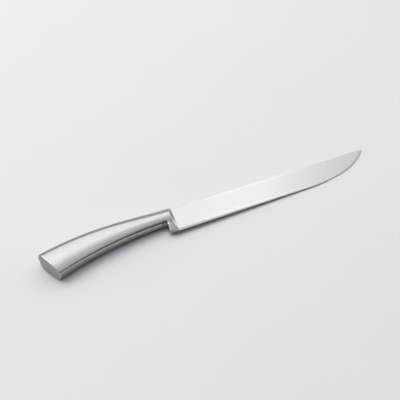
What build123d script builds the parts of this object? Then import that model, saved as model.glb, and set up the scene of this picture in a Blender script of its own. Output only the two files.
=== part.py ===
"""A carving knife with a slicing blade and a hollow steel handle, lying on its side.

Each piece is drawn in the knife's own frame and laid down at the end:
    +X runs from the bolster to the tip, and the bolster's front is at x = 0 on the blade's back;
    +Y points to the back of the blade, which rises gently to the tip;
    +Z is square to the blade's side, and z = 0 is the plane that halves the knife.
All lengths are in millimetres.
"""

from build123d import *

import os
from math import atan2, cos, degrees, hypot, radians, sin, sqrt, tan

# Blade: a plate ground thinner from the back to the edge, and from the heel to the tip
blade_length = 200.0
back_drop = 1.3
tip_rise = 0.7
heel_depth = 28.2
belly_start_depth = 25.4
tip_curve_depth = 19.4
belly_start_share = 0.66
tip_curve_share = 0.85
back_thickness = 2.3
tip_thickness = 1.2
heel_thickness = 1.0
edge_angle = 15.0

# Tang: the blade's tongue, which runs through the bolster into the handle
tang_length = 62.0
tang_width = 7.6
tang_tip_width = 6.0
tang_drop = 8.0
tang_thickness = 1.5
pin_diameter = 3.0
pin_length = 6.2
pin_spacing = 9.0

# Handle: its outline seen from the side, and its thickness, from the neck to the butt
handle_length = 127.0
spine_droop = 8.1
neck_depth = 16.9
butt_depth = 40.1
spine_flat = 4.4
ridge_inset = 6.0
neck_ridge_thickness = 10.0
butt_ridge_thickness = 13.6
neck_crown = 0.7
butt_crown = 1.5
neck_belly_thickness = 6.0
butt_belly_thickness = 9.0
neck_edge_radius = 1.6
butt_edge_radius = 1.0
wall = 1.2

# Bolster: a collar behind the blade, its guard, and a plug inside the shells
front_lean = 7.0
front_land = 0.1
front_bevel_length = 4.4
collar_length = 15.0
guard_depth = 28.5
guard_length = 9.1
guard_rear_lean = 13.0
guard_thickness = 3.0
guard_corner_radius = 0.8
front_margin = 1.0
plug_length = 18.0

# Butt cap: a domed plate with a low boss that fits inside the shells
butt_lean = 17.9
butt_middle_depth = 24.2
butt_dome_radius = 85.0
cap_thickness = 2.4
cap_edge_radius = 0.75
boss_height = 2.0

# Balance weight: a slug set in the filler behind the tang
weight_length = 26.0
weight_width = 12.0
weight_thickness = 7.2
weight_gap = 3.0
weight_drop = 13.2
weight_lean = 9.0

# Fits
weld_gap = 0.05
seat_clearance = 0.10
pin_clearance = 0.02
overrun = 12.0

# Handle stations from the bolster's front to past the butt, and where the outline is at each
station_shares = (0.0, 0.18, 0.36, 0.52, 0.68, 0.84, 1.0, 1.1)
spine_drop_shares = (0.14, 0.10, -0.02, -0.02, 0.145, 0.485, 1.0, 1.46)
belly_drop_shares = (0.0, 0.03, 0.127, 0.266, 0.459, 0.705, 1.0, 1.2)


# The handle's cross-section
def blend(neck_size, butt_size, share):
    """A size that grows evenly from the neck to the butt."""
    return neck_size + (butt_size - neck_size) * share


def crown_point(start, end, crown):
    """The middle of an arc that stands crown above the line between two points."""
    run, rise = end[0] - start[0], end[1] - start[1]
    length = hypot(run, rise)
    middle = ((start[0] + end[0]) / 2, (start[1] + end[1]) / 2)
    return (middle[0] + crown * rise / length, middle[1] - crown * run / length)


def half_section(number, inset):
    """One side's outline at a station, from the spine to the belly, as points in Y and Z.

    It has half a flat at the spine, a bevel up to the ridge, a crowned side, and half a flat at the
    belly. An inset draws the same outline that much smaller all round, for what lies inside.
    """
    share = station_shares[number]
    spine = -spine_droop * spine_drop_shares[number]
    belly = -blend(neck_depth, butt_depth, belly_drop_shares[number])
    spine_half = spine_flat / 2
    ridge_half = blend(neck_ridge_thickness, butt_ridge_thickness, share) / 2
    belly_half = blend(neck_belly_thickness, butt_belly_thickness, share) / 2
    crown = blend(neck_crown, butt_crown, share)

    slope = (ridge_half - spine_half) / ridge_inset
    steep = sqrt(1 + slope**2)
    spine_corner = (spine - inset, spine_half + inset * (slope - steep))
    ridge = (spine - ridge_inset - inset * (steep - 1) / slope, ridge_half - inset)

    run, fall = spine - ridge_inset - belly, ridge_half - belly_half
    dip = atan2(fall, run) + 2 * atan2(2 * crown, hypot(run, fall))
    corner = (belly + inset, belly_half + inset * (tan(dip) - 1 / cos(dip)))
    return spine_corner, ridge, crown_point(ridge, corner, crown), corner, dip


def crest(number, distance):
    """The highest point of the crowned side, with a station's outline, so far behind the front."""
    share = distance / handle_length
    ridge, corner = half_section(number, 0)[1], half_section(number, 0)[3]
    crown = blend(neck_crown, butt_crown, share)
    ridge_half = blend(neck_ridge_thickness, butt_ridge_thickness, share) / 2
    run, fall = ridge[0] - corner[0], ridge[1] - corner[1]
    half_turn = 2 * atan2(2 * crown, hypot(run, fall))
    radius = hypot(run, fall) / 2 / sin(half_turn)
    rise = half_turn - atan2(fall, run)
    return Vector(-distance, ridge[0] - radius * sin(rise), ridge_half + radius * (1 - cos(rise)))


def handle_section(number, inset=0.0):
    """The whole cross-section at a station. Only the outer one has its belly edges rounded."""
    share = station_shares[number]
    spine_corner, ridge, crown_top, corner, dip = half_section(number, inset)
    flat_end = corner
    if not inset:
        radius = blend(neck_edge_radius, butt_edge_radius, share)
        half_turn = (radians(90) - dip) / 2
        setback = radius * tan(half_turn)
        reach = radius / cos(half_turn) - radius
        side_end = (corner[0] + setback * cos(dip), corner[1] + setback * sin(dip))
        round_top = (corner[0] + reach * cos(half_turn), corner[1] - reach * sin(half_turn))
        flat_end = (corner[0], corner[1] - setback)
        crown_top = crown_point(ridge, side_end, blend(neck_crown, butt_crown, share))
    with BuildSketch(Plane.YZ.offset(-share * handle_length)) as section:
        with BuildLine():
            Line(spine_corner, ridge)
            if inset:
                ThreePointArc(ridge, crown_top, corner)
            else:
                ThreePointArc(ridge, crown_top, side_end)
                ThreePointArc(side_end, round_top, flat_end)
            mirror(about=Plane.XZ)
            Line(spine_corner, (spine_corner[0], -spine_corner[1]))
            Line(flat_end, (flat_end[0], -flat_end[1]))
        make_face()
    return section.sketch


# The whole handle as a solid, and what it holds: its cavity, and the body that fits the cavity
stations = range(len(station_shares))

with BuildPart() as handle_form:
    loft(sections=[handle_section(number) for number in stations])

with BuildPart() as cavity_form:
    loft(sections=[handle_section(number, wall) for number in stations])

with BuildPart() as core_form:
    loft(sections=[handle_section(number, wall + seat_clearance) for number in stations])

# The butt's dome, seen from the side, as an arc about a centre ahead of it
butt_angle = radians(180 + butt_lean)
dome_centre = (
    -handle_length - butt_dome_radius * cos(butt_angle),
    -butt_middle_depth - butt_dome_radius * sin(butt_angle),
)


def dome_point(inset, turn):
    """A point on the dome's arc, or on an arc inside it, some degrees round from its middle."""
    radius = butt_dome_radius - inset
    angle = butt_angle + radians(turn)
    return (dome_centre[0] + radius * cos(angle), dome_centre[1] + radius * sin(angle))


def ahead_of_dome(inset):
    """The region that the dome's arc, or an arc inside it, closes at the rear."""
    half_turn = degrees(atan2(butt_depth, butt_dome_radius))
    upper, lower = dome_point(inset, -half_turn), dome_point(inset, half_turn)
    with BuildSketch() as region:
        with BuildLine():
            ThreePointArc(upper, dome_point(inset, 0), lower)
            Polyline(upper, (overrun, upper[1]), (overrun, lower[1]), lower)
        make_face()
    return region.sketch


def region_behind(distance):
    """The region behind a line across the knife."""
    with BuildSketch() as region:
        with BuildLine():
            Polyline(
                (-distance, handle_length),
                (-2 * handle_length, handle_length),
                (-2 * handle_length, -handle_length),
                (-distance, -handle_length),
                close=True,
            )
        make_face()
    return region.sketch


# The hollow handle before it is split into its two shells
with BuildPart() as handle_wall:
    add(handle_form.part)
    add(cavity_form.part, mode=Mode.SUBTRACT)
    extrude(region_behind(collar_length), amount=butt_depth, both=True, mode=Mode.INTERSECT)
    extrude(ahead_of_dome(cap_thickness + weld_gap), amount=butt_depth, both=True, mode=Mode.INTERSECT)

# Right shell: the side of the handle that faces up
with BuildPart() as right_handle_shell:
    add(handle_wall.part)
    split(bisect_by=Plane.XY.offset(weld_gap / 2), keep=Keep.TOP)

# Left shell: the side that the knife lies on
with BuildPart() as left_handle_shell:
    add(handle_wall.part)
    split(bisect_by=Plane.XY.offset(-weld_gap / 2), keep=Keep.BOTTOM)

# Butt cap: the domed plate with its rim rounded, and the boss ahead of it
with BuildPart() as cap_boss:
    add(core_form.part)
    extrude(ahead_of_dome(cap_thickness), amount=butt_depth, both=True, mode=Mode.INTERSECT)
    extrude(ahead_of_dome(cap_thickness + boss_height), amount=butt_depth, both=True, mode=Mode.SUBTRACT)

with BuildPart() as butt_cap:
    add(handle_form.part)
    extrude(ahead_of_dome(cap_thickness), amount=butt_depth, both=True, mode=Mode.SUBTRACT)
    extrude(ahead_of_dome(0), amount=butt_depth, both=True, mode=Mode.INTERSECT)
    dome = butt_cap.faces().filter_by(GeomType.CYLINDER).sort_by(Axis.X)[0]
    fillet(dome.edges(), cap_edge_radius)
    add(cap_boss.part)

# The blade's outline and grind
heel = (-heel_depth * tan(radians(front_lean)), -heel_depth)
belly_start = (belly_start_share * blade_length, -belly_start_depth)
tip_curve_start = (tip_curve_share * blade_length, -tip_curve_depth)
back_start = (-back_drop * tan(radians(front_lean)), -back_drop)
tip = (blade_length, tip_rise)
edge_direction = (belly_start[0] - heel[0], belly_start[1] - heel[1])
length_fall = (back_thickness - tip_thickness) / 2 / blade_length
width_fall = (back_thickness - heel_thickness) / 2 / heel_depth


def tang_outline(clearance):
    """The tang as seen from the side, from inside the blade to its end."""
    with BuildSketch() as outline:
        with BuildLine():
            Polyline(
                (clearance, tang_width / 2 + clearance - tang_drop),
                (-tang_length - clearance, tang_tip_width / 2 + clearance - tang_drop),
                (-tang_length - clearance, -tang_tip_width / 2 - clearance - tang_drop),
                (clearance, -tang_width / 2 - clearance - tang_drop),
                close=True,
            )
        make_face()
    return outline.sketch


def pin_places():
    """Where the cross pins stand, spread evenly along the plug."""
    middle = collar_length + plug_length / 2
    return [(-middle - pin_spacing / 2, -tang_drop), (-middle + pin_spacing / 2, -tang_drop)]


# Blade with its tang
with BuildPart() as blade:
    with BuildSketch():
        with BuildLine():
            straight_edge = Line(heel, belly_start)
            belly_arc = TangentArc(belly_start, tip_curve_start, tangent=edge_direction)
            tip_arc = TangentArc(tip_curve_start, tip, tangent=belly_arc % 1)
            Polyline(tip, back_start, heel)
        make_face()
    extrude(amount=back_thickness, both=True)
    for side in (1, -1):
        ground_side = Plane(
            origin=(0, 0, side * back_thickness / 2),
            z_dir=(length_fall, -width_fall, side),
        )
        split(bisect_by=ground_side, keep=Keep.BOTTOM)
    # The cutting bevels: a block whose walls lean in from the edge line trims the edge alone
    end_slope = tip_arc % 1
    beyond_tip = (tip[0] + overrun * end_slope.X, tip[1] + overrun * end_slope.Y)
    behind_heel = (heel[0] - overrun, heel[1] - overrun * edge_direction[1] / edge_direction[0])
    with BuildSketch():
        with BuildLine():
            add(straight_edge)
            add(belly_arc)
            add(tip_arc)
            Polyline(
                tip,
                beyond_tip,
                (beyond_tip[0] + overrun, beyond_tip[1] + overrun),
                (behind_heel[0], beyond_tip[1] + overrun),
                behind_heel,
                heel,
            )
        make_face()
    extrude(amount=back_thickness, both=True, taper=90 - edge_angle, mode=Mode.INTERSECT)
    extrude(tang_outline(0), amount=tang_thickness / 2, both=True)
    with BuildSketch():
        with Locations(*pin_places()):
            Circle(pin_diameter / 2 + pin_clearance)
    extrude(amount=back_thickness, both=True, mode=Mode.SUBTRACT)

# Bolster: a collar and a guard trimmed to one bevelled front, with the plug behind and the tang's slot
ridge_at_neck = half_section(0, 0)[1]
guard_height = guard_depth + ridge_at_neck[0]
guard_slope = (ridge_at_neck[1] - guard_thickness / 2) / guard_height
lean_run = tan(radians(front_lean))


def front_section(height):
    """The bolster's front across the blade at one height: a thin land and a bevel on each side.

    The bevel is as long at every height, so it is steep at the neck and shallow at the guard's end.
    It is drawn at twice its length, to trim the collar's crown too.
    """
    front = height * lean_run - weld_gap
    land = back_thickness / 2 + width_fall * height + front_land
    side = ridge_at_neck[1] + guard_slope * (height - ridge_at_neck[0])
    wide = land + 2 * (side - land)
    bevel_end = front - 2 * front_bevel_length
    rear = -collar_length - overrun
    with BuildSketch(Plane.XZ.offset(-height)) as outline:
        with BuildLine():
            Polyline(
                (front, land),
                (bevel_end, wide),
                (rear, wide),
                (rear, -wide),
                (bevel_end, -wide),
                (front, -land),
                close=True,
            )
        make_face()
    return outline.sketch


with BuildPart() as front_form:
    loft(sections=[front_section(front_margin), front_section(-guard_depth - front_margin)], ruled=True)

with BuildPart() as plug:
    add(core_form.part)
    extrude(region_behind(collar_length - weld_gap), amount=butt_depth, both=True, mode=Mode.INTERSECT)
    extrude(region_behind(collar_length + plug_length), amount=butt_depth, both=True, mode=Mode.SUBTRACT)

with BuildPart() as guard:
    guard_front = (-guard_depth * lean_run, -guard_depth)
    guard_rear = (guard_front[0] - guard_length, guard_front[1] + guard_length * lean_run)
    rear_rise = ridge_at_neck[0] - guard_rear[1]
    guard_root = (guard_rear[0] + rear_rise * tan(radians(guard_rear_lean)), ridge_at_neck[0])
    with BuildSketch() as guard_outline:
        with BuildLine():
            Polyline(guard_root, guard_rear, guard_front, (0, ridge_at_neck[0]), close=True)
        make_face()
        fillet(guard_outline.vertices().sort_by(Axis.X)[0], guard_corner_radius)
    extrude(amount=ridge_at_neck[1], both=True)
    for side in (1, -1):
        guard_side = Plane(
            origin=(0, ridge_at_neck[0], side * ridge_at_neck[1]),
            z_dir=(0, -guard_slope, side),
        )
        split(bisect_by=guard_side, keep=Keep.BOTTOM)

with BuildPart() as bolster:
    add(handle_form.part)
    extrude(region_behind(collar_length - weld_gap), amount=butt_depth, both=True, mode=Mode.SUBTRACT)
    add(guard.part)
    add(front_form.part, mode=Mode.INTERSECT)
    add(plug.part)
    extrude(
        tang_outline(seat_clearance),
        amount=tang_thickness / 2 + seat_clearance,
        both=True,
        mode=Mode.SUBTRACT,
    )
    with BuildSketch():
        with Locations(*pin_places()):
            Circle(pin_diameter / 2 + pin_clearance)
    extrude(amount=butt_ridge_thickness, both=True, mode=Mode.SUBTRACT)

# Two cross pins that lock the tang in the plug
with BuildPart() as tang_pins:
    with BuildSketch(Plane.XY.offset(-pin_length / 2)):
        with Locations(*pin_places()):
            Circle(pin_diameter / 2)
    extrude(amount=pin_length)

# Balance weight
weight_plane = Plane(
    origin=(-tang_length - weight_gap - weight_length / 2, -weight_drop, -weight_thickness / 2),
).rotated((0, 0, weight_lean))
with BuildPart() as balance_weight:
    with BuildSketch(weight_plane):
        SlotOverall(weight_length, weight_width)
    extrude(amount=weight_thickness)

# Filler: it fills the cavity between the plug and the butt cap's boss, round the tang and the weight
with BuildPart() as resin_core:
    add(core_form.part)
    behind_plug = region_behind(collar_length + plug_length + seat_clearance)
    extrude(behind_plug, amount=butt_depth, both=True, mode=Mode.INTERSECT)
    ahead_of_boss = ahead_of_dome(cap_thickness + boss_height + seat_clearance)
    extrude(ahead_of_boss, amount=butt_depth, both=True, mode=Mode.INTERSECT)
    extrude(
        tang_outline(seat_clearance),
        amount=tang_thickness / 2 + seat_clearance,
        both=True,
        mode=Mode.SUBTRACT,
    )
    with BuildSketch(weight_plane.offset(-seat_clearance)):
        SlotOverall(weight_length + 2 * seat_clearance, weight_width + 2 * seat_clearance)
    extrude(amount=weight_thickness + 2 * seat_clearance, mode=Mode.SUBTRACT)

pieces = (
    blade,
    bolster,
    right_handle_shell,
    left_handle_shell,
    butt_cap,
    tang_pins,
    balance_weight,
    resin_core,
)

# The knife at rest on its left side. It touches the table at the butt, at the neck and near the tip.
bevel_reach = front_bevel_length - ridge_at_neck[0] * lean_run
butt_rest = crest(station_shares.index(1.0), handle_length)
neck_rest = crest(0, bevel_reach)
tip_rest = Vector(blade_length, 0, tip_thickness / 2)
rests = [Vector(rest.X, rest.Y, -rest.Z) for rest in (butt_rest, neck_rest, tip_rest)]
down = (rests[2] - rests[1]).cross(rests[0] - rests[1]).normalized()
up = down * (down.Z / abs(down.Z))
table = Plane(origin=rests[1], x_dir=Vector(1, 0, 0) - up * up.X, z_dir=up)
for piece in pieces:
    piece.part.move(table.location.inverse())

# The origin is on the table, under the middle of the knife
box = Compound([piece.part for piece in pieces]).bounding_box()
for piece in pieces:
    piece.part.move(Location((-box.center().X, -box.center().Y, -box.min.Z)))

# Labels and files
blade.part.label = "blade"
bolster.part.label = "bolster"
right_handle_shell.part.label = "right_handle_shell"
left_handle_shell.part.label = "left_handle_shell"
butt_cap.part.label = "butt_cap"
tang_pins.part.label = "tang_pins"
balance_weight.part.label = "balance_weight"
resin_core.part.label = "resin_core"

os.makedirs("parts", exist_ok=True)
export_step(blade.part, "parts/blade.step")
export_step(bolster.part, "parts/bolster.step")
export_step(right_handle_shell.part, "parts/right_handle_shell.step")
export_step(left_handle_shell.part, "parts/left_handle_shell.step")
export_step(butt_cap.part, "parts/butt_cap.step")
export_step(tang_pins.part, "parts/tang_pins.step")
export_step(balance_weight.part, "parts/balance_weight.step")
export_step(resin_core.part, "parts/resin_core.step")
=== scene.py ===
import math

import bmesh
import bpy
import numpy as np
from mathutils import Matrix, Vector


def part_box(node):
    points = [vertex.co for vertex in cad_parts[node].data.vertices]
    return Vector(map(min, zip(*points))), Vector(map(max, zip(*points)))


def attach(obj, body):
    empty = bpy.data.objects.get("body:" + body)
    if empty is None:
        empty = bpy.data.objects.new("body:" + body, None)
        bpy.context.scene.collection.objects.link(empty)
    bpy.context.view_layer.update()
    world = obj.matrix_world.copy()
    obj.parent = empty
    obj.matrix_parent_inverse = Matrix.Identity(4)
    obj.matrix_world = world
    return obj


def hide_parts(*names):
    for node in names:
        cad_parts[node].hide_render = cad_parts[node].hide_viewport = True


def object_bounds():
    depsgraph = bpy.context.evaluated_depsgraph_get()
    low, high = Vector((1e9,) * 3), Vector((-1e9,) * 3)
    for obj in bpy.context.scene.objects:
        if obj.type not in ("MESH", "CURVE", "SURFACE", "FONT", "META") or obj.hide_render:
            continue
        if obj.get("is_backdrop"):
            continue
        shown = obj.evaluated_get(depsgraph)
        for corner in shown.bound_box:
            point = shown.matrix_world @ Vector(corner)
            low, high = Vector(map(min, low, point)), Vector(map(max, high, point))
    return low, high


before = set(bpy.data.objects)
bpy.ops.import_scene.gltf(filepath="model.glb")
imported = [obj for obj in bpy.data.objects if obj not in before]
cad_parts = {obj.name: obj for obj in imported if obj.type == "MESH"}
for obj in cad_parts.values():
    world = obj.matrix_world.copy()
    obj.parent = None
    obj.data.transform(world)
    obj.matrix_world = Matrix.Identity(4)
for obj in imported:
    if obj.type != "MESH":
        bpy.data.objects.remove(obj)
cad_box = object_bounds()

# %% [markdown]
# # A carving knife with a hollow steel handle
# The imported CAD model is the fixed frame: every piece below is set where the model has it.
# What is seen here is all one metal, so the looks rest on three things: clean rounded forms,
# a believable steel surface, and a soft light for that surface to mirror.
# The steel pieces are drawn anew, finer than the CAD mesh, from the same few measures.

MM = 0.001
print("the CAD model is", [round(float(d) / MM, 1) for d in cad_box[1] - cad_box[0]], "mm")

# %% [markdown]
# ## Sums that become nodes
# Both materials and Geometry Nodes are networks, and a long formula is hard to read as one.
# A Wire stands for a node's output. An operator on a Wire adds the Math node for it, so a rule
# can be written once as a plain Python sum, and be used on numbers, on arrays or on sockets.


# %% The net, which adds nodes
class Net:
    """A node tree that is being wired."""

    def __init__(self, tree):
        self.tree = tree

    def node(self, kind, settings=(), inputs=()):
        """Adds a node: its settings first, then the values or wires of its sockets."""
        made = self.tree.nodes.new(kind)
        for name, value in dict(settings).items():
            setattr(made, name, value)
        free = [s for s in made.inputs if not s.is_unavailable]
        for name, value in dict(inputs).items():
            if isinstance(name, int):
                socket = free[name]
            else:
                socket = next(s for s in free if s.name == name)
            if isinstance(value, Wire):
                self.tree.links.new(value.socket, socket)
            else:
                socket.default_value = value
        return {s.name: Wire(self, s) for s in reversed(made.outputs) if not s.is_unavailable}


# %% The wire, which stands in sums
class Wire:
    """A node's output that can stand in a sum."""

    def __init__(self, net, socket):
        self.net, self.socket = net, socket

    def math(self, operation, *values):
        made = self.net.node("ShaderNodeMath", {"operation": operation}, enumerate(values))
        return made["Value"]

    def __add__(self, other):
        return self.math("ADD", self, other)

    def __sub__(self, other):
        return self.math("SUBTRACT", self, other)

    def __rsub__(self, other):
        return self.math("SUBTRACT", other, self)

    def __mul__(self, other):
        return self.math("MULTIPLY", self, other)

    def __truediv__(self, other):
        return self.math("DIVIDE", self, other)

    def __rtruediv__(self, other):
        return self.math("DIVIDE", other, self)

    def __neg__(self):
        return self.math("MULTIPLY", self, -1.0)

    __radd__ = __add__
    __rmul__ = __mul__


# %% Functions of numbers, arrays or wires
def either(operation, plain, *values):
    """The Math node where a value is a wire, and the plain function elsewhere."""
    wires = [v for v in values if isinstance(v, Wire)]
    return wires[0].math(operation, *values) if wires else plain(*values)


def larger(a, b):
    return either("MAXIMUM", np.maximum, a, b)


def smaller(a, b):
    return either("MINIMUM", np.minimum, a, b)


def root(a):
    return either("SQRT", np.sqrt, a)


def size_of(a):
    return either("ABSOLUTE", np.abs, a)


def within(a, low, high):
    return smaller(larger(a, low), high)


print("on plain numbers, within(7, 0, 5) gives", within(7.0, 0.0, 5.0))

# %% [markdown]
# ## The handle's rule
# A hollow handle is pressed from two shells, so its form is simple: a spine, a bevel, a crowned
# side and a belly, which all change evenly from the neck to the butt. Only the spine and the
# belly bend, and a polynomial through a few stations follows each bend without a kink, which
# matters because polished steel shows every kink.

# %% The knife's measures, in its own frame and in millimetres
# x runs from the bolster's front to the tip, y to the blade's back, z square to its side
SIZES = {
    "Handle length": 127.0,
    "Spine half": 2.2,
    "Ridge inset": 6.0,
    "Ridge half at neck": 5.0,
    "Ridge half at butt": 6.8,
    "Belly half at neck": 3.0,
    "Belly half at butt": 4.5,
    "Crown at neck": 0.66,
    "Crown at butt": 1.54,
    "Belly crown": 0.08,
    "Wall": 1.2,
}
SPINE_DROOP, NECK_DEPTH, BUTT_DEPTH = 8.1, 17.1, 40.1
# The radii along the belly's edges and the ridge, at the neck and at the butt
BELLY_ROUNDS, RIDGE_ROUNDS = (1.8, 1.2), (0.16, 0.26)
# The bends, as shares of the whole drop at stations along the handle
STATIONS = (0.0, 0.18, 0.36, 0.52, 0.68, 0.84, 1.0, 1.1)
SPINE_DROPS = (0.14, 0.10, -0.02, -0.02, 0.145, 0.485, 1.0, 1.46)
BELLY_DROPS = (0.0, 0.03, 0.127, 0.266, 0.459, 0.705, 1.0, 1.2)
SPINE_RULE = np.polyfit(STATIONS, SPINE_DROPS, len(STATIONS) - 1)
BELLY_RULE = np.polyfit(STATIONS, BELLY_DROPS, len(STATIONS) - 1)


def polynomial(rule, value):
    total = float(rule[0])
    for term in rule[1:]:
        total = total * value + float(term)
    return total


def mixed(first, last, share):
    return first + (last - first) * share


def measures(share, s):
    """The section's measures at a share of the handle's length."""
    m = {
        "spine": -SPINE_DROOP * polynomial(SPINE_RULE, share),
        "belly": -mixed(NECK_DEPTH, BUTT_DEPTH, polynomial(BELLY_RULE, share)),
        "ridge half": mixed(s["Ridge half at neck"], s["Ridge half at butt"], share),
        "belly half": mixed(s["Belly half at neck"], s["Belly half at butt"], share),
        "crown": mixed(s["Crown at neck"], s["Crown at butt"], share),
        "belly round": mixed(*BELLY_ROUNDS, share),
        "ridge round": mixed(*RIDGE_ROUNDS, share),
    }
    m["ridge"] = m["spine"] - s["Ridge inset"]
    # The crowned side is an arc from the ridge to the belly's corner
    run, fall = m["ridge"] - m["belly"], m["ridge half"] - m["belly half"]
    chord = root(run * run + fall * fall)
    m["radius"] = chord * chord / (8.0 * m["crown"]) + m["crown"] / 2.0
    sink = (m["crown"] - m["radius"]) / chord
    m["centre y"] = (m["ridge"] + m["belly"]) / 2.0 - fall * sink
    m["centre z"] = (m["ridge half"] + m["belly half"]) / 2.0 + run * sink
    # It ends a little before that corner, where the belly's round begins
    m["belly crown"] = s["Belly crown"] * m["belly half"]
    back = (m["belly crown"] + m["belly round"]) / m["radius"]
    sine, cosine = either("SINE", np.sin, back), either("COSINE", np.cos, back)
    from_y, from_z = m["belly"] - m["centre y"], m["belly half"] - m["centre z"]
    to_y, to_z = from_y * cosine + from_z * sine, from_z * cosine - from_y * sine
    m["end"], m["end half"] = m["centre y"] + to_y, m["centre z"] + to_z
    m["end tan"] = -to_y / to_z
    return m


print("the belly at mid handle is at y =", round(float(measures(0.5, SIZES)["belly"]), 2))

# %% The same rule as a field that is below zero inside the handle
SPINE_ROUND = 0.16


def keep_both(a, b, round_size):
    """What is inside both fields, with the edge between them rounded."""
    near = larger(round_size - size_of(a - b), 0.0)
    return larger(a, b) + near * near / (4.0 * round_size)


def keep_either(a, b, round_size):
    """What is inside one or the other, with a small hollow where they meet."""
    near = larger(round_size - size_of(a - b), 0.0)
    return smaller(a, b) - near * near / (4.0 * round_size)


def handle_sides(x, y, z, s):
    """The fields of the spine, the bevel, the crowned side and the belly."""
    m = measures(-x / s["Handle length"], s)
    z = size_of(z)
    rise = m["ridge half"] - s["Spine half"]
    steep = root(rise * rise + s["Ridge inset"] * s["Ridge inset"])
    bevel = ((y - m["spine"]) * rise + (z - s["Spine half"]) * s["Ridge inset"]) / steep
    dy, dz = smaller(y, m["ridge"]) - m["centre y"], z - m["centre z"]
    side = root(dy * dy + dz * dz) - m["radius"]
    bulge = z / m["belly half"]
    belly = m["belly"] + m["belly crown"] * bulge * bulge - y
    return y - m["spine"], bevel, side, belly, m


def handle_field(x, y, z, s):
    spine, bevel, side, belly, m = handle_sides(x, y, z, s)
    body = keep_both(side, belly, m["belly round"])
    body = keep_both(body, bevel, m["ridge round"])
    return keep_both(body, spine, SPINE_ROUND)


inside = handle_field(-60.0, -16.0, 0.0, SIZES)
print("the field inside the handle, 60 mm behind its front, is", round(float(inside), 2))

# %% [markdown]
# ## Lying at rest
# The knife lies on its left side and touches the table at the butt, at the neck and near the
# tip. Only its up direction is needed: the other two axes follow, as the blade's heading stays
# level. The shift comes from one point that is known in both frames, midway between the cross
# pins.

# %% From the knife's frame to the model's
UP_AT_REST = Vector((-0.024497835, 0.056659901, 0.998092937))
ahead = (Vector((1.0, 0.0, 0.0)) - UP_AT_REST * UP_AT_REST.x).normalized()
turned = Matrix((ahead, UP_AT_REST.cross(ahead), UP_AT_REST))
PIN_MIDDLE = Vector((-24.0, -8.0, 0.0))
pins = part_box("tang_pins")
shift = (pins[0] + pins[1]) / 2.0 - turned @ PIN_MIDDLE * MM
PLACE = Matrix.Translation(shift) @ turned.to_4x4() @ Matrix.Scale(MM, 4)
print("the knife lies", [round(math.degrees(a), 2) for a in turned.to_euler()], "degrees round")

# %% [markdown]
# ## Satin steel
# The whole knife is stainless steel with a satin finish: a dull mirror that is combed by fine
# parallel scratches. The handle was polished lengthwise and the blade was ground across, so one
# material is made in several tunings. Long thin noise gives the combing, and broad noise gives
# the haze of handling. A measure stored on the mesh makes the edges smoother, as fingers and
# cloths do.


# %% What every material needs
def net_of(block):
    """The emptied node tree of a material or a world, as a net."""
    block.use_nodes = True
    block.node_tree.nodes.clear()
    return Net(block.node_tree)


def mixed_colour(net, share, dark, light):
    ends = {"Factor": share, "A": (*dark, 1.0), "B": (*light, 1.0)}
    return net.node("ShaderNodeMix", {"data_type": "RGBA"}, ends)["Result"]


def cover(net, sockets):
    """Ends a material's net in one shader."""
    shader = net.node("ShaderNodeBsdfPrincipled", {}, sockets)["BSDF"]
    net.node("ShaderNodeOutputMaterial", {}, {"Surface": shader})
    print("a material of", len(net.tree.nodes), "nodes")


# %% One steel, several tunings
# The repeats a metre of two broad patterns: clouds, and the smudges that stand out of them
CLOUDS, SMUDGES = (45.0, 60.0, 60.0), (95.0, 130.0, 130.0)
SMUDGE_START, SMUDGE_CONTRAST = 0.1, 6.0
# How much each pattern adds to the dullness, and to the shade between dark (0) and light (1)
COMB_DULLNESS, SMUDGE_DULLNESS, DULLNESS_LIMITS = 0.05, 0.6, (0.08, 0.7)
BROAD_SHADE, CLOUD_SHADE, FINE_SHADE, WORN_SHADE = 0.3, 0.5, 0.15, 0.5
DARKEST, LIGHTEST = 0.93, 1.05
RELIEF_STRENGTH, BROAD_RELIEF = 0.35, 0.5
GRAZING_TINT = (0.55, 0.55, 0.55, 1.0)


def steel(name, tone, roughness, combs, comb_depth=0.000004, haze=0.05, wear=0.08):
    """A steel whose combs are the repeats a metre of its fine and of its broad lines."""
    material = bpy.data.materials.new(name)
    net = net_of(material)
    place = net.node("ShaderNodeTexCoord")["Object"]

    def lines(scale, detail):
        combed = net.node("ShaderNodeMapping", {}, {"Vector": place, "Scale": scale})["Vector"]
        noise = {"Vector": combed, "Scale": 1.0, "Detail": detail, "Roughness": 0.6}
        return net.node("ShaderNodeTexNoise", {}, noise)["Fac"] - 0.5

    fine, broad = lines(combs[0], 2.0), lines(combs[1], 3.0)
    cloud = lines(CLOUDS, 3.0)
    smudge = within((lines(SMUDGES, 2.0) - SMUDGE_START) * SMUDGE_CONTRAST, 0.0, 1.0)
    worn = net.node("ShaderNodeAttribute", {"attribute_name": "edge_wear"})["Fac"]

    dull = roughness + fine * COMB_DULLNESS + broad * COMB_DULLNESS
    dull = dull + cloud * haze + smudge * haze * SMUDGE_DULLNESS - worn * wear
    shade = 0.5 + broad * BROAD_SHADE + cloud * CLOUD_SHADE
    shade = within(shade + fine * FINE_SHADE + worn * WORN_SHADE, 0.0, 1.0)
    dark, light = [c * DARKEST for c in tone], [c * LIGHTEST for c in tone]
    height = fine + broad * BROAD_RELIEF
    relief = {"Strength": RELIEF_STRENGTH, "Distance": comb_depth, "Height": height}
    print(name)
    cover(net, {
        "Base Color": mixed_colour(net, shade, dark, light),
        "Metallic": 1.0,
        "Specular Tint": GRAZING_TINT,
        "Roughness": within(dull, *DULLNESS_LIMITS),
        "Normal": net.node("ShaderNodeBump", {}, relief)["Normal"],
    })
    return material


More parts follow.
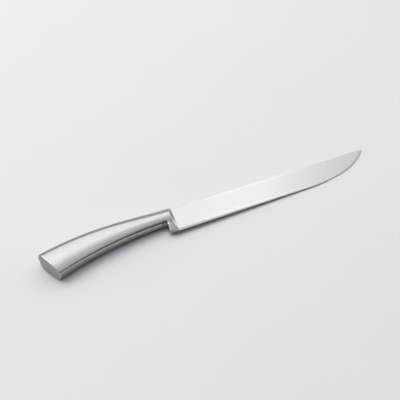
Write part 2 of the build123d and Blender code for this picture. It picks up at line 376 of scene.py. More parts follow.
# Few repeats a metre along an axis draw the noise out into lines that run that way
LENGTHWISE = ((70.0, 5200.0, 5200.0), (16.0, 1300.0, 1300.0))
CROSSWISE = ((5600.0, 60.0, 60.0), (1500.0, 14.0, 14.0))
# The honed edge's tone is lighter than the blade's. Part of that is its finer polish, and part is
# a painted highlight that draws a bright line along the edge
STEEL_TONE, BLADE_TONE, HONED_TONE_AND_PAINTED_SHEEN = (0.44, 0.44, 0.44), (0.46, 0.46, 0.46), (0.56, 0.56, 0.57)
handle_steel = steel("satin_handle_steel", STEEL_TONE, 0.27, LENGTHWISE)
blade_steel = steel("ground_blade_steel", BLADE_TONE, 0.21, CROSSWISE, haze=0.03)
honed_steel_and_painted_sheen = steel("honed_edge_steel", HONED_TONE_AND_PAINTED_SHEEN, 0.17, CROSSWISE, haze=0.02, wear=0.0)

# %% [markdown]
# ## The two handle shells
# Each shell is a sheet pressed over a form, so it is made as a sheet here too: a flat grid whose
# every point is sent to its place on the rule. A loft through drawn rings would do as well, but
# the grid needs no rings to be stored, and its lines run along the handle, as the polish does.
# The rear is cut to the butt's dome, which a few rounds of the same step find for every line of
# the grid.

# %% Half a section as a path of lines and rounds
PATH_STEPS = (3, 4, 6, 5, 24, 8, 4)
PATH_KNOTS = np.cumsum((0, *PATH_STEPS))
RIDGE_SETBACK = 0.5


def half_section(step, m, s):
    """A point of the half section, at a step from the spine's middle to the belly's."""
    inset, spine_half = s["Ridge inset"], s["Spine half"]
    flare = m["ridge half"] - spine_half
    steep = root(flare * flare + inset * inset)
    bevel = (-inset / steep, flare / steep)
    # Where the rounds at the spine, the ridge and the belly begin and end
    spine_back = spine_half - SPINE_ROUND * steep / inset
    bevel_on = (m["spine"] - SPINE_ROUND, spine_half + SPINE_ROUND * flare / inset)
    ridge, end = (m["ridge"], m["ridge half"]), (m["end"], m["end half"])
    ridge_back = [ridge[i] - bevel[i] * RIDGE_SETBACK for i in (0, 1)]
    # The crowned side is an arc, as a weighted Bezier curve
    run, fall = ridge[0] - end[0], ridge[1] - end[1]
    chord = root(run * run + fall * fall)
    sine = chord / (2.0 * m["radius"])
    weight = root(1.0 - sine * sine)
    pull = sine / weight / 2.0
    knee = ((ridge[0] + end[0]) / 2.0 - fall * pull, (ridge[1] + end[1]) / 2.0 + run * pull)

    def side(t):
        first, middle, last = (1.0 - t) * (1.0 - t), 2.0 * weight * t * (1.0 - t), t * t
        total = first + middle + last
        return [(first * ridge[i] + middle * knee[i] + last * end[i]) / total for i in (0, 1)]

    start = RIDGE_SETBACK / chord
    side_on = side(start)
    # The belly is crowned too, and its round runs into it without a kink
    round_end = m["belly half"] - m["belly round"] * root(1.0 + m["end tan"] * m["end tan"])
    sag = m["belly crown"] * round_end * round_end / (m["belly half"] * m["belly half"])
    slope = 2.0 * sag / round_end
    rise = m["end"] - m["belly"]
    reach = m["end half"] - rise * m["end tan"] - round_end
    lift = (sag + slope * reach) / (1.0 - slope * m["end tan"])
    knuckle = (m["belly"] + lift, m["end half"] + (lift - rise) * m["end tan"])
    belly_on = (m["belly"] + sag, round_end)
    # Each part of the path: where it starts, the corner that it rounds, and where it ends
    corners = (
        ((m["spine"], 0.0), None, (m["spine"], spine_back)),
        ((m["spine"], spine_back), (m["spine"], spine_half), bevel_on),
        (bevel_on, None, ridge_back),
        (ridge_back, ridge, side_on),
        None,
        (end, knuckle, belly_on),
        (belly_on, (m["belly"], round_end / 2.0), (m["belly"], 0.0)),
    )
    t = [within((step - float(k)) / float(n), 0.0, 1.0) for k, n in zip(PATH_KNOTS, PATH_STEPS)]
    total = list(corners[0][0])
    for number, corner in enumerate(corners):
        for i in (0, 1):
            if corner is None:
                total[i] = total[i] + side(start + (1.0 - start) * t[number])[i] - side_on[i]
            elif corner[1] is None:
                total[i] = total[i] + t[number] * (corner[2][i] - corner[0][i])
            else:
                a, b, c = corner[0][i], corner[1][i], corner[2][i]
                u = t[number]
                total[i] = total[i] + 2.0 * u * (1.0 - u) * (b - a) + u * u * (c - a)
    return total


print("a half section has", PATH_KNOTS[-1] + 1, "points")

# %% The butt's dome, as a circle seen from the side
DOME_RADIUS, CAP_THICKNESS, DOME_TILT = 85.0, 2.4, 17.9
DOME_MIDDLE = (-127.0, -24.2)
dome_turn = math.radians(180.0 + DOME_TILT)
DOME_CENTRE = (
    DOME_MIDDLE[0] - DOME_RADIUS * math.cos(dome_turn),
    DOME_MIDDLE[1] - DOME_RADIUS * math.sin(dome_turn),
)
print("the dome's centre is at", [round(v, 1) for v in DOME_CENTRE])


# %% Objects, and what their modifiers make
def placed(name, data):
    """A new object in the scene."""
    made = bpy.data.objects.new(name, data)
    bpy.context.scene.collection.objects.link(made)
    return made


def plain_mesh(holder):
    """The mesh that an object's modifiers make. The object itself goes."""
    seen = holder.evaluated_get(bpy.context.evaluated_depsgraph_get())
    mesh = bpy.data.meshes.new_from_object(seen)
    bpy.data.objects.remove(holder)
    return mesh


# %% Trees for Geometry Nodes
def new_tree(name, sizes):
    """A Geometry Nodes tree with a named input for each size, as a net, and its inputs."""
    tree = bpy.data.node_groups.new(name, "GeometryNodeTree")
    tree.interface.new_socket(name="Geometry", in_out="INPUT", socket_type="NodeSocketGeometry")
    tree.interface.new_socket(name="Geometry", in_out="OUTPUT", socket_type="NodeSocketGeometry")
    for size in sizes:
        kind = "NodeSocketMaterial" if size == "Material" else "NodeSocketFloat"
        tree.interface.new_socket(name=size, in_out="INPUT", socket_type=kind)
    net = Net(tree)
    return net, net.node("NodeGroupInput")


def grown(name, net, inputs, sizes, geometry):
    """Ends the tree, runs it on an empty mesh, and gives the plain mesh that it made."""
    smooth = net.node("GeometryNodeSetShadeSmooth", {}, {"Geometry": geometry})["Geometry"]
    real = net.node("GeometryNodeRealizeInstances", {}, {"Geometry": smooth})["Geometry"]
    dress = {"Geometry": real, "Material": inputs["Material"]}
    dressed = net.node("GeometryNodeSetMaterial", {}, dress)["Geometry"]
    net.node("NodeGroupOutput", {}, {"Geometry": dressed})
    carrier = placed(name + "_maker", bpy.data.meshes.new(name + "_maker"))
    modifier = carrier.modifiers.new("rule", "NODES")
    modifier.node_group = net.tree
    for item in net.tree.interface.items_tree:
        if item.in_out == "INPUT" and item.name in sizes:
            modifier[item.identifier] = sizes[item.name]
    print(name, "comes from a tree of", len(net.tree.nodes), "nodes")
    mesh = plain_mesh(carrier)
    mesh.name = name
    return mesh


# %% From a mesh to a piece
HANDLE_WEAR = 0.5


def outward(mesh):
    """Turns the faces to point out if they enclose a negative volume."""
    shape = bmesh.new()
    shape.from_mesh(mesh)
    bmesh.ops.remove_doubles(shape, verts=shape.verts, dist=1e-5)
    volume = shape.calc_volume(signed=True)
    if volume < 0:
        bmesh.ops.reverse_faces(shape, faces=shape.faces)
    open_edges = sum(len(e.link_faces) != 2 for e in shape.edges)
    shape.to_mesh(mesh)
    shape.free()
    print(mesh.name, "has", len(mesh.polygons), "faces and", open_edges, "open edges")
    print("    and encloses", round(abs(volume)), "mm3")


def points_of(mesh):
    flat = np.zeros(len(mesh.vertices) * 3, np.float32)
    mesh.vertices.foreach_get("co", flat)
    return flat.reshape(-1, 3).astype(float)


def worn_near(distance, width):
    """One at an edge, falling to nothing within two widths of it."""
    return np.exp(-np.square(distance / width))


def handle_wear(points):
    """The wear along every edge of the handle: there, two sides' fields are near zero."""
    x, y, z = points.T
    fields = np.sort(np.stack(handle_sides(x, y, z, SIZES)[:4]), axis=0)
    return worn_near(fields[-2], HANDLE_WEAR)


def finish_piece(name, mesh, node, wear):
    """Stores the edge wear, lays the mesh down at rest, and hands the piece to the frame."""
    worn = mesh.attributes.new("edge_wear", "FLOAT", "POINT")
    worn.data.foreach_set("value", np.asarray(wear, np.float32))
    mesh.transform(PLACE)
    piece = placed(name, mesh)
    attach(piece, "root")
    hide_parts(node)
    print(name, "stands for", node)


# %% The shell's tree
RINGS, DOME_ROUNDS, COLLAR = 190, 6, 15.0
shell_sizes = {**SIZES, "Front": COLLAR, "Rings": float(RINGS), "Material": handle_steel}
net, sizes = new_tree("pressed_shell", shell_sizes)
step_count = int(PATH_KNOTS[-1]) + 1
grid_size = {"Vertices X": RINGS + 1, "Vertices Y": step_count}
grid = net.node("GeometryNodeMeshGrid", {}, grid_size)["Mesh"]
index = net.node("GeometryNodeInputIndex")["Index"]
ring = either("FLOOR", np.floor, (index + 0.5) / float(step_count))
step = index - ring * float(step_count)
repeat_start = net.tree.nodes.new("GeometryNodeRepeatInput")
repeat_end = net.tree.nodes.new("GeometryNodeRepeatOutput")
repeat_start.pair_with_output(repeat_end)
repeat_start.inputs["Iterations"].default_value = DOME_ROUNDS
net.tree.links.new(grid.socket, repeat_start.inputs["Geometry"])
# Each round reads every point's y, and so finds how far back the dome lets its line go
here = net.node("GeometryNodeInputPosition")["Position"]
y_now = net.node("ShaderNodeSeparateXYZ", {}, {"Vector": here})["Y"]
from_centre = y_now - DOME_CENTRE[1]
inner = DOME_RADIUS - CAP_THICKNESS
rear = DOME_CENTRE[0] - root(inner * inner - from_centre * from_centre)
x_new = rear * ring / sizes["Rings"] - sizes["Front"] * (1.0 - ring / sizes["Rings"])
section = half_section(step, measures(-x_new / sizes["Handle length"], sizes), sizes)
spot = net.node("ShaderNodeCombineXYZ", {}, {"X": x_new, "Y": section[0], "Z": section[1]})
looped = Wire(net, repeat_start.outputs["Geometry"])
moved = net.node("GeometryNodeSetPosition", {}, {"Geometry": looped, "Position": spot["Vector"]})
net.tree.links.new(moved["Geometry"].socket, repeat_end.inputs["Geometry"])
sheet = Wire(net, repeat_end.outputs["Geometry"])
shell_mesh = grown("handle_shell", net, sizes, shell_sizes, sheet)

# %% Both shells, with their wall
SHELL_CORNER = math.radians(50.0)


def with_wall(mesh, side):
    """A closed shell: the sheet, its inner side a wall away, and the rims between them."""
    sheet = mesh.copy()
    if side < 0:
        sheet.transform(Matrix.Diagonal((1.0, 1.0, -1.0, 1.0)))
    shape = bmesh.new()
    shape.from_mesh(sheet)
    bmesh.ops.recalc_face_normals(shape, faces=shape.faces)
    facing = sum((v.co.z * v.normal.z for v in shape.verts), 0.0)
    if facing < 0:
        bmesh.ops.reverse_faces(shape, faces=shape.faces)
    shape.to_mesh(sheet)
    shape.free()
    holder = placed("holder", sheet)
    wall = holder.modifiers.new("wall", "SOLIDIFY")
    wall.thickness, wall.offset = SIZES["Wall"], -1.0
    return plain_mesh(holder)


for name, node, side in (
    ("upper_handle_shell", "right_handle_shell", 1),
    ("lower_handle_shell", "left_handle_shell", -1),
):
    mesh = with_wall(shell_mesh, side)
    mesh.name = name
    outward(mesh)
    mesh.set_sharp_from_angle(angle=SHELL_CORNER)
    finish_piece(name, mesh, node, handle_wear(points_of(mesh)))

# %% [markdown]
# ## The bolster and the butt cap
# The bolster is cast: a collar and a guard that grow out of one another, trimmed to one bevelled
# front. A fillet joins the guard's rear to the belly, and the guard's flank twists inward towards
# its foot. Joining and trimming meshes leaves ragged corners, so it is made as a volume instead.
# Each face is a field that is below zero inside, the smaller or the larger of two fields joins or
# trims, and where two come close the edge is rounded. The mesh is then grown on the zero level.
# The butt cap is made in the same way from the handle's own field and the dome.

# %% From a field to a mesh
VOXEL = 0.17


def grown_volume(name, sizes, block, rule):
    """The mesh on the zero level of a field, inside a block between two corners."""
    net, inputs = new_tree(name, sizes)
    here = net.node("GeometryNodeInputPosition")["Position"]
    spot = net.node("ShaderNodeSeparateXYZ", {}, {"Vector": here})
    depth = -rule(spot["X"], spot["Y"], spot["Z"], inputs)
    low, high = block
    samples = {"Density": depth, "Background": -1.0, "Min": low, "Max": high}
    for axis, letter in enumerate("XYZ"):
        samples["Resolution " + letter] = int((high[axis] - low[axis]) / VOXEL) + 1
    volume = net.node("GeometryNodeVolumeCube", {}, samples)["Volume"]
    level = {"Volume": volume, "Threshold": 0.0}
    mesh = net.node("GeometryNodeVolumeToMesh", {}, level)["Mesh"]
    made = grown(name, net, inputs, sizes, mesh)
    outward(made)
    return made


print("a field is sampled every", VOXEL, "mm")

# %% The bolster's measures
# The front leans by 7 degrees, and its bevel grows by a share of the step over the blade
LEAN = math.tan(math.radians(7.0))
FRONT_PLACE, LAND = -0.3, 0.1
BEVEL_LENGTH, BEVEL_GROWTH = 1.6, 0.5
BEVEL_REACH = 2.0 * BEVEL_LENGTH
# The guard: its foot, its rear face, and how its flank goes inward
GUARD_DEPTH, GUARD_LENGTH, GUARD_HALF = 28.3, 9.1, 1.4
GUARD_REAR_LEAN = math.tan(math.radians(13.0))
GUARD_TWIST = math.tan(math.radians(8.5))
GUARD_FALL, EDGE_NARROWING = 0.5, 0.4
guard_front = (-GUARD_DEPTH * LEAN, -GUARD_DEPTH)
guard_rear = (guard_front[0] - GUARD_LENGTH, guard_front[1] + GUARD_LENGTH * LEAN)
neck = measures(0.0, SIZES)
guard_slope = (neck["ridge half"] - GUARD_HALF) / (GUARD_DEPTH + neck["ridge"])
# The blade's thickness, from its back to its heel
BACK_HALF, HEEL_DEPTH, HEEL_HALF = 1.15, 28.2, 0.5
WIDTH_FALL = (BACK_HALF - HEEL_HALF) / HEEL_DEPTH
# What is inside the handle: the collar's tuck, the plug, the tang and the two pins
TUCK, PLUG_END, PLUG_FIT, PLUG_OVERLAP = 0.35, 33.0, 0.1, 1.0
TANG_DROP, TANG_HALF_WIDTH, TANG_NARROWING, TANG_HALF = 8.0, 3.8, 0.8 / 62.0, 0.75
PIN_RADIUS, PIN_SPREAD = 1.52, 4.5
print("the guard's foot runs from x =", round(guard_rear[0], 1), "to", round(guard_front[0], 1))


# %% The bolster's rule and its mesh
def bolster_rule(x, y, z, s):
    z = size_of(z)
    spine, bevel, side, belly, m = handle_sides(x, y, z, s)
    handle = handle_field(x, y, z, s)
    # Seen from the side, the belly runs into the guard's rear in a fillet
    rear_x = guard_rear[0] + GUARD_REAR_LEAN * (y - guard_rear[1])
    rear = (rear_x - x) / math.hypot(1.0, GUARD_REAR_LEAN)
    foot = (guard_front[1] - y + LEAN * (guard_front[0] - x)) / math.hypot(1.0, LEAN)
    profile = keep_either(belly, keep_both(rear, foot, s["Guard corner"]), s["Fillet"])
    # The guard's flank is a plane that twists inward towards its front and its foot
    below = (neck["ridge"] - y) / (GUARD_DEPTH + neck["ridge"])
    flank = mixed(neck["ridge half"], GUARD_HALF, below) - GUARD_FALL * larger(rear_x - x, 0.0)
    flank = flank - GUARD_TWIST * larger(below, 0.0) * larger(x - rear_x, 0.0)
    faces = keep_either(side, (z - flank) / math.hypot(1.0, guard_slope), s["Hollow"])
    narrowed = m["belly round"] - EDGE_NARROWING * (m["belly"] - y)
    edge = within(narrowed, s["Edge round"], m["belly round"])
    body = keep_both(keep_both(faces, profile, edge), bevel, m["ridge round"])
    body = larger(keep_both(body, spine, SPINE_ROUND), -COLLAR - TUCK - x)
    # The front: a thin land round the blade, and a bevel that is longer where the step is high
    front = x - y * LEAN - FRONT_PLACE
    land = BACK_HALF + LAND + WIDTH_FALL * y
    dy = smaller(y, neck["ridge"]) - neck["centre y"]
    side_height = neck["centre z"] + root(larger(neck["radius"] * neck["radius"] - dy * dy, 0.0))
    flank_run = y * LEAN + FRONT_PLACE - BEVEL_REACH - rear_x
    flank_height = mixed(neck["ridge half"], GUARD_HALF, below) - GUARD_TWIST * below * flank_run
    spine_flare = s["Ridge half at neck"] - s["Spine half"]
    spine_height = s["Spine half"] + (neck["spine"] - y) * spine_flare / s["Ridge inset"]
    rise = larger(smaller(spine_height, larger(side_height, flank_height)) - land, 0.0)
    length = BEVEL_LENGTH + BEVEL_GROWTH * rise
    facet = (front * rise + (z - land) * length) / root(rise * rise + length * length)
    body = keep_both(keep_both(body, facet, s["Bevel round"]), front, s["Edge round"] * 0.5)
    # The plug inside the shells, the tang's slot and the two pin bores
    plug_ends = larger(x + COLLAR - PLUG_OVERLAP, -PLUG_END - x)
    body = smaller(body, larger(handle + (s["Wall"] + PLUG_FIT), plug_ends))
    slot_half = TANG_HALF_WIDTH + PLUG_FIT + TANG_NARROWING * x
    slot = larger(z - (TANG_HALF + PLUG_FIT), size_of(y + TANG_DROP) - slot_half)
    pin_x, pin_y = size_of(x - PIN_MIDDLE.x) - PIN_SPREAD, y - PIN_MIDDLE.y
    bores = root(pin_x * pin_x + pin_y * pin_y) - PIN_RADIUS
    return larger(body, -smaller(slot, bores))


BOLSTER_BLOCK = ((-33.5, -29.0, -6.4), (0.6, -0.4, 6.4))
bolster_sizes = {
    **SIZES,
    "Guard corner": 2.2,
    "Fillet": 3.2,
    "Edge round": 0.35,
    "Bevel round": 0.4,
    "Hollow": 0.9,
    "Material": handle_steel,
}
bolster_mesh = grown_volume("neck_bolster", bolster_sizes, BOLSTER_BLOCK, bolster_rule)
bolster_wear = handle_wear(points_of(bolster_mesh))
finish_piece("neck_bolster", bolster_mesh, "bolster", bolster_wear)

# %% The butt cap's rule and its mesh
BOSS_HEIGHT, CAP_WEAR = 2.0, 0.6
CAP_BLOCK = ((-131.0, -40.5, -8.9), (-111.0, -7.5, 8.9))


def cap_rule(x, y, z, s):
    handle = handle_field(x, y, z, s)
    dx, dy = x - DOME_CENTRE[0], y - DOME_CENTRE[1]
    out = root(dx * dx + dy * dy)
    plate = keep_both(handle, out - DOME_RADIUS, s["Rim round"])
    plate = larger(plate, DOME_RADIUS - CAP_THICKNESS - TUCK - out)
    boss_front = DOME_RADIUS - CAP_THICKNESS - BOSS_HEIGHT - out
    boss = larger(handle + (s["Wall"] + PLUG_FIT), boss_front)
    return smaller(plate, larger(boss, out - (DOME_RADIUS - PLUG_OVERLAP)))


cap_sizes = {**SIZES, "Rim round": 0.7, "Material": handle_steel}
cap_mesh = grown_volume("domed_butt_cap", cap_sizes, CAP_BLOCK, cap_rule)
cap_points = points_of(cap_mesh)
rim = np.hypot(cap_points[:, 0] - DOME_CENTRE[0], cap_points[:, 1] - DOME_CENTRE[1]) - DOME_RADIUS
handle_near = np.maximum.reduce(handle_sides(*cap_points.T, SIZES)[:4])
rim_wear = worn_near(np.minimum(rim, handle_near), CAP_WEAR)
cap_wear = np.maximum(handle_wear(cap_points), rim_wear)
finish_piece("domed_butt_cap", cap_mesh, "butt_cap", cap_wear)

# %% [markdown]
# ## The blade
# The blade is a plate ground flat on both sides, thinner towards the edge and the tip, with a
# narrow honed bevel along the edge. Flat ground faces show the smallest dent, so it is built
# directly: columns run from the back to the edge, each with the same few points, and extra
# points beside every edge keep the flats flat right up to it. The tang behind it is a plain bar
# with two pin bores. No one sees it, so two Boolean modifiers are good enough to drill it, and a
# third joins it to the heel.

# %% The blade's outline
BLADE_LENGTH, TIP_THICKNESS, BACK_DROP, TIP_RISE = 200.0, 1.2, 1.3, 0.7
HEEL = np.array((FRONT_PLACE - HEEL_DEPTH * LEAN, -HEEL_DEPTH))
BELLY_START, TIP_CURVE_START = np.array((132.0, -25.4)), np.array((170.0, -19.4))
BACK_START = np.array((FRONT_PLACE - BACK_DROP * LEAN, -BACK_DROP))
TIP = np.array((BLADE_LENGTH, TIP_RISE))
EDGE_POINTS = (90, 41, 61)


def arc_on(start, end, heading, count):
    """Points on the arc that leaves start along a heading for end, and its last heading."""
    normal = np.array((-heading[1], heading[0]))
    gap = end - start
    radius = gap @ gap / (2.0 * (normal @ gap))
    centre = start + normal * radius
    first = math.atan2(*(start - centre)[::-1])
    turn = 2.0 * math.atan2(normal @ gap, heading @ gap)
    angles = first + turn * np.linspace(0.0, 1.0, count)
    points = centre + abs(radius) * np.stack((np.cos(angles), np.sin(angles)), axis=1)
    last = np.array((-math.sin(angles[-1]), math.cos(angles[-1]))) * math.copysign(1.0, turn)
    return points, last


along_edge = (BELLY_START - HEEL) / np.linalg.norm(BELLY_START - HEEL)
straight = HEEL + np.outer(np.linspace(0.0, 1.0, EDGE_POINTS[0]), BELLY_START - HEEL)
belly_arc, heading = arc_on(BELLY_START, TIP_CURVE_START, along_edge, EDGE_POINTS[1])
tip_arc, _ = arc_on(TIP_CURVE_START, TIP, heading, EDGE_POINTS[2])
edge_line = np.concatenate((straight, belly_arc[1:], tip_arc[1:]))
print("the edge has", len(edge_line), "points and ends at", edge_line[-1].round(2))

# %% The blade's thickness
LENGTH_FALL = (BACK_HALF - TIP_THICKNESS / 2.0) / BLADE_LENGTH
HONE = math.tan(math.radians(15.0))


def edge_gap(points):
    """How far points are from the edge, as seen from the side."""
    starts, runs = edge_line[:-1], np.diff(edge_line, axis=0)
    share = np.einsum("pij,ij->pi", points[:, None] - starts, runs) / np.sum(runs * runs, axis=1)
    nearest = starts + np.clip(share, 0.0, 1.0)[..., None] * runs
    return np.linalg.norm(points[:, None] - nearest, axis=2).min(axis=1)


def side_half(points):
    """Half the plate's thickness before the edge is honed."""
    return BACK_HALF - LENGTH_FALL * points[:, 0] + WIDTH_FALL * points[:, 1]


share_along = (edge_line[:, 0] - HEEL[0]) / (TIP[0] - HEEL[0])
back_line = BACK_START + np.outer(share_along, TIP - BACK_START)
columns = edge_line - back_line


def down_columns(share):
    """The point at a share of each column, as seen from the side."""
    return back_line + columns * share[:, None]


def half_at(inward):
    """Half the blade's thickness at a share of each column, the honed bevel included."""
    spots = down_columns(inward)
    return np.minimum(side_half(spots), HONE * edge_gap(spots))


print("the blade is", (2.0 * side_half(back_line)[[0, -1]]).round(2), "mm thick at heel and tip")

# %% The blade's columns, from the back's middle to the edge
BACK_ROUND, ROUND_STEPS, FLAT_STEPS, HALVINGS = 0.3, 8, 8, 40
SUPPORT_GAP, SUPPORT_SHARE, ROUND_SHARE = 0.25, 0.1, 0.45
HONE_STATIONS = (0.0, 0.12, 0.5, 0.88)
lengths = np.maximum(np.linalg.norm(columns, axis=1), 1e-9)
# The place where the honed bevel starts, found by halving
low, high = np.zeros(len(columns)), np.ones(len(columns))
for _ in range(HALVINGS):
    middle = (low + high) / 2.0
    spots = down_columns(middle)
    before = side_half(spots) < HONE * edge_gap(spots)
    low, high = np.where(before, middle, low), np.where(before, high, middle)
honed_from = low
nothing = np.zeros(len(columns))
room = np.minimum(half_at(nothing), honed_from * lengths)
round_size = np.minimum(BACK_ROUND, ROUND_SHARE * room)
# Each row: how far down its columns it is, and its height over the middle plane
rows = [(nothing, nothing)]
for angle in np.linspace(0.0, math.pi / 2.0, ROUND_STEPS + 1):
    inward = round_size * (1.0 - math.cos(angle)) / lengths
    rows.append((inward, half_at(inward) - round_size * (1.0 - math.sin(angle))))
support = np.minimum(SUPPORT_GAP / lengths, SUPPORT_SHARE * honed_from)
flat_start = rows[-1][0] + support
flat_end = np.maximum(honed_from - support, flat_start)
flats = [mixed(flat_start, flat_end, share) for share in np.linspace(0.0, 1.0, FLAT_STEPS)]
hones = [mixed(honed_from, 1.0, share) for share in HONE_STATIONS]
rows += [(inward, half_at(inward)) for inward in flats + hones]
rows.append((nothing + 1.0, nothing))
print(len(columns), "columns have", len(rows), "points a side")

# %% The blade's mesh
upper = np.stack([np.column_stack((down_columns(inward), z)) for inward, z in rows], axis=1)
lower = upper[:, -2:0:-1] * (1.0, 1.0, -1.0)
rings = np.concatenate((upper, lower), axis=1)
ring_size = rings.shape[1]
blade_shape = bmesh.new()
for point in rings.reshape(-1, 3):
    blade_shape.verts.new(point)
blade_shape.verts.ensure_lookup_table()
for k in range(len(rings) - 1):
    here, ahead_of = k * ring_size, (k + 1) * ring_size
    for i in range(ring_size):
        j = (i + 1) % ring_size
        corners = (here + i, here + j, ahead_of + j, ahead_of + i)
        blade_shape.faces.new([blade_shape.verts[c] for c in corners])
blade_shape.faces.new([blade_shape.verts[i] for i in range(ring_size)])
bmesh.ops.remove_doubles(blade_shape, verts=blade_shape.verts, dist=1e-4)
bmesh.ops.recalc_face_normals(blade_shape, faces=blade_shape.faces)
blade_mesh = bpy.data.meshes.new("slicing_blade")
blade_shape.to_mesh(blade_mesh)
blade_shape.free()
print("the bevel at the heel is", round(float((1 - honed_from[0]) * lengths[0]), 2), "mm wide")


# %% The tang, joined to the blade
def prism(name, outline, half):
    """A plate with a given outline, from -half to half."""
    shape = bmesh.new()
    face = shape.faces.new([shape.verts.new((x, y, -half)) for x, y in outline])
    risen = bmesh.ops.extrude_face_region(shape, geom=[face])["geom"]
    tops = [v for v in risen if isinstance(v, bmesh.types.BMVert)]
    bmesh.ops.translate(shape, vec=(0.0, 0.0, 2.0 * half), verts=tops)
    bmesh.ops.recalc_face_normals(shape, faces=shape.faces)
    mesh = bpy.data.meshes.new(name)
    shape.to_mesh(mesh)
    shape.free()
    return mesh


def combined(mesh, operation, other):
    """A mesh joined with or cut by another."""
    holder, tool = placed("holder", mesh), placed("holder", other)
    cut = holder.modifiers.new("cut", "BOOLEAN")
    cut.operation, cut.object, cut.solver = operation, tool, "EXACT"
    result = plain_mesh(holder)
    bpy.data.objects.remove(tool)
    return result


TANG_LENGTH, TANG_ROOT = 62.0, 2.0
BORE_POINTS, BORE_HALF = 48, 2.0
tang_outline = []
for x in (TANG_ROOT, -TANG_LENGTH):
    for side in (1, -1) if x > 0 else (-1, 1):
        half_width = TANG_HALF_WIDTH + TANG_NARROWING * x
        tang_outline.append((x, side * half_width - TANG_DROP))
tang_mesh = prism("tang", tang_outline, TANG_HALF)
round_angles = np.linspace(0.0, 2.0 * math.pi, BORE_POINTS, endpoint=False)
for spread in (-PIN_SPREAD, PIN_SPREAD):
    pin_x = PIN_MIDDLE.x + spread
    bore = [
        (pin_x + PIN_RADIUS * math.cos(a), PIN_MIDDLE.y + PIN_RADIUS * math.sin(a))
        for a in round_angles
    ]
    tang_mesh = combined(tang_mesh, "DIFFERENCE", prism("bore", bore, BORE_HALF))
blade_mesh = combined(blade_mesh, "UNION", tang_mesh)
blade_mesh.name = "slicing_blade"
outward(blade_mesh)

# %% The blade's two finishes, and its wear
BLADE_CORNER = math.radians(12.5)
BACK_WEAR, EDGE_WEAR = 0.6, 2.5
# The honed faces are those that tilt by about the hone's angle, beside the edge
HONED_LEVELS, HONED_REACH = (0.93, 0.99), 3.0
blade_mesh.shade_smooth()
blade_mesh.set_sharp_from_angle(angle=BLADE_CORNER)
blade_mesh.materials.clear()
blade_mesh.materials.append(blade_steel)
# The second slot is the honed edge's lighter steel, whose tone is partly a painted highlight
# along the edge
blade_mesh.materials.append(honed_steel_and_painted_sheen)
middles = np.array([p.center for p in blade_mesh.polygons])
level = np.abs([p.normal.z for p in blade_mesh.polygons])
honed = (level > HONED_LEVELS[0]) & (level < HONED_LEVELS[1])
honed = honed & (edge_gap(middles[:, :2]) < HONED_REACH)
blade_mesh.polygons.foreach_set("material_index", honed.astype(np.int32))
blade_points = points_of(blade_mesh)
back_height = BACK_START[1] + (TIP - BACK_START)[1] / BLADE_LENGTH * blade_points[:, 0]
back_wear = worn_near(back_height - blade_points[:, 1], BACK_WEAR)
blade_wear = back_wear + worn_near(edge_gap(blade_points[:, :2]), EDGE_WEAR)
finish_piece("slicing_blade", blade_mesh, "blade", np.clip(blade_wear, 0.0, 1.0))
print("honed faces:", int(honed.sum()))

# %% [markdown]
# ## What the handle holds
# The pins, the balance weight and the filler are inside and never seen once the handle is
# closed. The CAD solids are right as they are, so they only get a finish of their own.

# %% Finishes for the hidden pieces
GRAIN_STRENGTH, GRAIN_HEIGHT, GRAIN_DULLNESS = 0.3, 0.0001, 0.2


def plain_finish(name, dark, light, metallic, roughness, grain):
    """A simple speckled finish: two tones and a roughness that a noise mixes."""
    material = bpy.data.materials.new(name)
    net = net_of(material)
    place = net.node("ShaderNodeTexCoord")["Object"]
    noise = {"Vector": place, "Scale": grain, "Detail": 4.0}
    speckle = net.node("ShaderNodeTexNoise", {}, noise)["Fac"]
    relief = {"Strength": GRAIN_STRENGTH, "Distance": GRAIN_HEIGHT, "Height": speckle}
    cover(net, {
        "Base Color": mixed_colour(net, speckle, dark, light),
        "Metallic": metallic,
        "Roughness": roughness + (speckle - 0.5) * GRAIN_DULLNESS,
        "Normal": net.node("ShaderNodeBump", {}, relief)["Normal"],
    })
    return material


# Each piece: its finish's name, its dark and light tone, metallic, roughness, grains a metre
hidden = {
    "tang_pins": ("drawn_pin_steel", (0.42, 0.42, 0.43), (0.55, 0.55, 0.56), 1.0, 0.35, 900.0),
    "balance_weight": ("cast_weight", (0.20, 0.19, 0.18), (0.32, 0.31, 0.30), 1.0, 0.55, 400.0),
    "resin_core": ("resin_filler", (0.30, 0.26, 0.20), (0.42, 0.38, 0.31), 0.0, 0.6, 300.0),
}
for node, finish in hidden.items():
    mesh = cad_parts[node].data
    mesh.materials.clear()
    mesh.materials.append(plain_finish(*finish))
print("finished inside:", sorted(hidden))

# %% [markdown]
# ## Table, light and camera
# Steel shows what it mirrors, so the light is the larger half of its look. A row of soft boxes
# stands behind the knife, where the blade mirrors it into the camera: the brightest is behind the
# handle and they fade towards the tip. The room itself is dark, with wide soft glows low down
# behind the knife, which draw the bevels, the crowned side and the end of the butt. The table is
# matt and pale, and keeps the knife's shadow.

# %% The table
TABLE_HALF = 4.0
table_shape = bmesh.new()
bmesh.ops.create_grid(table_shape, x_segments=8, y_segments=8, size=TABLE_HALF)
table_mesh = bpy.data.meshes.new("table")
table_shape.to_mesh(table_mesh)
table_shape.free()
table_material = bpy.data.materials.new("matt_table")
net = net_of(table_material)
place = net.node("ShaderNodeTexCoord")["Object"]
mottle = net.node("ShaderNodeTexNoise", {}, {"Vector": place, "Scale": 9.0, "Detail": 3.0})["Fac"]
cover(net, {
    "Base Color": mixed_colour(net, mottle, (0.775, 0.775, 0.778), (0.790, 0.790, 0.793)),
    "Roughness": 0.75,
    "Specular IOR Level": 0.2,
})
table_mesh.materials.append(table_material)
table_top = placed("table", table_mesh)
table_top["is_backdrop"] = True
print("the table is", 2 * TABLE_HALF, "m wide")

# %% The room
LIGHT_TINT = (0.99, 0.98, 1.02)
AMBIENT = 0.076
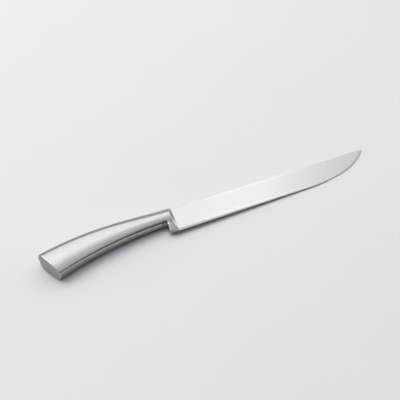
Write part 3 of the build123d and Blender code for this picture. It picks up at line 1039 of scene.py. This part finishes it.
# Each glow: azimuth, elevation, how narrow it is, strength
GLOWS = (
    (45.0, 66.0, 12.0, 0.63),
    (-65.0, 8.0, 8.0, 1.45),
    (-50.0, 8.0, 14.0, 1.11),
    (0.0, 6.0, 12.0, 0.74),
    (50.0, 10.0, 10.0, 1.91),
    (90.0, 18.0, 10.0, 1.13),
    (-45.0, 78.0, 10.0, 0.91),
)


def direction(azimuth, elevation):
    """A unit vector. Azimuth 0 is behind the knife, and turns to the tip's side."""
    a, e = math.radians(azimuth), math.radians(elevation)
    return Vector((math.sin(a) * math.cos(e), math.cos(a) * math.cos(e), math.sin(e)))


world = bpy.data.worlds.new("studio")
bpy.context.scene.world = world
net = net_of(world)
ray = net.node("ShaderNodeTexCoord")["Generated"]
strength = AMBIENT
for azimuth, elevation, narrow, peak in GLOWS:
    sides = {0: ray, 1: direction(azimuth, elevation)}
    facing = net.node("ShaderNodeVectorMath", {"operation": "DOT_PRODUCT"}, sides)["Value"]
    strength = facing.math("EXPONENT", (facing - 1.0) * narrow) * peak + strength
light = {"Color": (*LIGHT_TINT, 1.0), "Strength": strength}
room_light = net.node("ShaderNodeBackground", {}, light)["Background"]
net.node("ShaderNodeOutputWorld", {}, {"Surface": room_light})
print("the room has", len(GLOWS), "glows")

# %% The soft boxes
BOX_DISTANCE = 2.5


def soft_box(name, azimuth, elevation, width, height, radiance):
    """A wide lamp that faces the knife."""
    away = direction(azimuth, elevation)
    lamp = bpy.data.lights.new(name, "AREA")
    lamp.shape, lamp.size, lamp.size_y = "RECTANGLE", width, height
    lamp.energy, lamp.color = radiance * math.pi * width * height, LIGHT_TINT
    holder = placed(name, lamp)
    holder.location = away * BOX_DISTANCE
    holder.rotation_mode = "QUATERNION"
    holder.rotation_quaternion = away.to_track_quat("Z", "Y")
    holder.visible_camera = False
    print(name, "stands", [round(v, 2) for v in holder.location])


soft_box("main_box", -37.0, 46.0, 2.33, 1.62, 2.46)
soft_box("middle_box", 2.0, 46.0, 1.25, 1.62, 0.67)
soft_box("right_box", 26.0, 46.0, 0.88, 1.62, 0.95)
soft_box("fading_box", 41.0, 46.0, 0.44, 1.62, 0.61)
soft_box("top_box", -20.0, 78.0, 1.4, 1.2, 0.37)

# %% The camera, at the photograph's angle
IMAGE_SIDE, FOCAL_PIXELS, SENSOR_WIDTH = 400.0, 1440.59, 36.0
CAMERA_TURN, CAMERA_TIP, CAMERA_ROLL = 25.76, 1.2, 4.0
CAMERA_ELEVATION = math.radians(42.0)
KNIFE_IN_VIEW = Vector((-26.98, -7.67, 1300.0))
level_axes = Matrix((
    (1.0, 0.0, 0.0),
    (0.0, math.sin(CAMERA_ELEVATION), math.cos(CAMERA_ELEVATION)),
    (0.0, math.cos(CAMERA_ELEVATION), -math.sin(CAMERA_ELEVATION)),
))
knife_turn = (
    Matrix.Rotation(math.radians(CAMERA_TURN), 3, "Z")
    @ Matrix.Rotation(math.radians(CAMERA_TIP), 3, "Y")
    @ Matrix.Rotation(math.radians(CAMERA_ROLL), 3, "X")
)
view = level_axes @ knife_turn
camera_data = bpy.data.cameras.new("camera")
camera_data.sensor_width = SENSOR_WIDTH
camera_data.lens = FOCAL_PIXELS * SENSOR_WIDTH / IMAGE_SIDE
camera_data.clip_start, camera_data.clip_end = 0.05, 30.0
camera = placed("camera", camera_data)
axes = turned @ view.transposed()
right, upward, forward = axes.col
stand = PLACE @ (-(view.transposed() @ KNIFE_IN_VIEW))
aim = Matrix((right, upward, -forward)).transposed().to_4x4()
camera.matrix_world = Matrix.Translation(stand) @ aim
bpy.context.scene.camera = camera
print("the camera stands", [round(v, 3) for v in stand])
print("its lens is", round(camera_data.lens, 1), "mm")

# %% [markdown]
# ## The box beside the CAD box
# The visual model's box and the CAD model's box are measured, and the room between them is
# printed. The visual model has to fit the CAD model's box.

# %% Sizes, and the end
bpy.context.scene.view_settings.view_transform = "Standard"
seen_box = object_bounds()
low_room = [round(float(a - b) / MM, 3) for a, b in zip(seen_box[0], cad_box[0])]
high_room = [round(float(b - a) / MM, 3) for a, b in zip(seen_box[1], cad_box[1])]
print("inside the CAD box by", low_room, "and", high_room, "mm")
